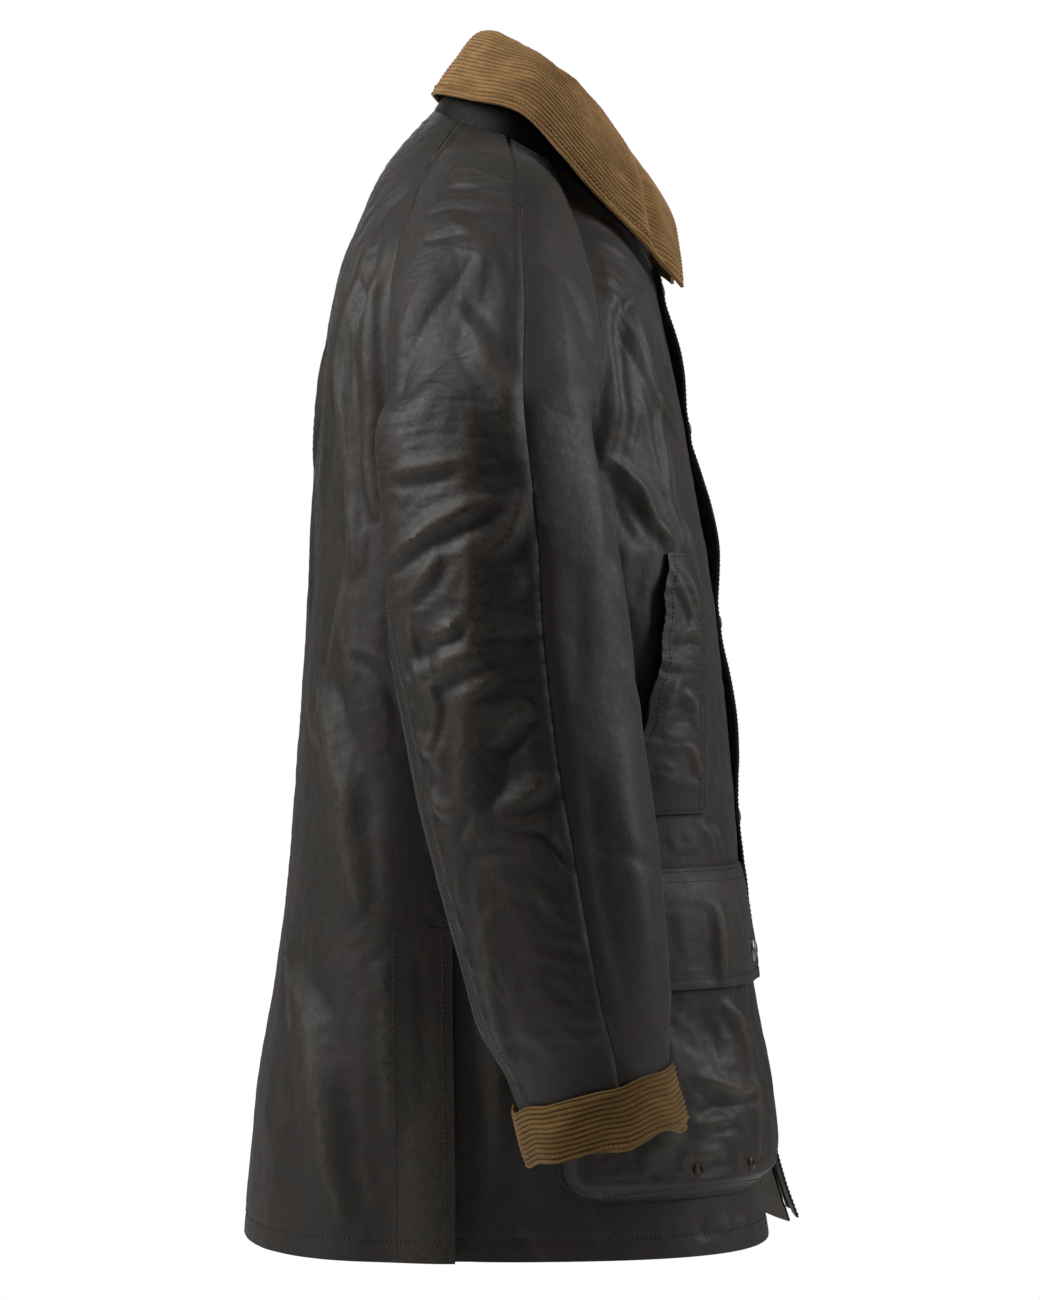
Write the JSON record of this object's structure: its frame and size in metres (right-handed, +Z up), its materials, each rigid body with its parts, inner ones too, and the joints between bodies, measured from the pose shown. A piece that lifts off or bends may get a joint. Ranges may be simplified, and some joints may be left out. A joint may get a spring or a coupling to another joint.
{
  "type": "waxed cotton jacket",
  "caption": "Worn-shape raglan jacket of waxed cotton with corduroy collar and cuffs, snapped storm fly, flapped bellows pockets and handwarmer patches.",
  "frame": {"origin": "at the neck, where the jacket sits on the wearer's shoulders", "axes": "+Z up, -Y the way the wearer faces, +X the wearer's left"},
  "size_m": [0.6806, 0.4004, 0.8682],
  "materials": {
    "waxed_cotton": "waxed satin weave, dark olive brown",
    "waxed_stand": "waxed satin weave, darker",
    "corduroy": "brown corduroy with raised wales",
    "zip_tape": "woven tape with a metal chain",
    "snap_metal": "worn nickel plate",
    "eyelet_brass": "aged brass"
  },
  "bodies": {
    "root": {"back": "waxed_cotton", "front_left": "waxed_cotton", "front_right": "waxed_cotton", "sleeve_back_left": "waxed_cotton", "sleeve_back_right": "waxed_cotton", "sleeve_front_left": "waxed_cotton", "sleeve_front_right": "waxed_cotton", "storm_fly": "waxed_cotton", "bellows_bag_left": "waxed_cotton", "bellows_bag_right": "waxed_cotton", "pocket_flap_left": "waxed_cotton", "pocket_flap_right": "waxed_cotton", "handwarmer_left": "waxed_cotton", "handwarmer_right": "waxed_cotton", "collar_stand": "waxed_stand", "collar": "corduroy", "cuff_left": "corduroy", "cuff_right": "corduroy", "zip": "zip_tape", "snap_fly_1": "snap_metal", "snap_fly_2": "snap_metal", "snap_fly_3": "snap_metal", "snap_fly_4": "snap_metal", "snap_fly_5": "snap_metal", "snap_flap_left_1": "snap_metal", "snap_flap_left_2": "snap_metal", "snap_flap_right_1": "snap_metal", "snap_flap_right_2": "snap_metal", "eyelet_left_1": "eyelet_brass", "eyelet_left_2": "eyelet_brass", "eyelet_right_1": "eyelet_brass", "eyelet_right_2": "eyelet_brass"}
  },
  "joints": []
}
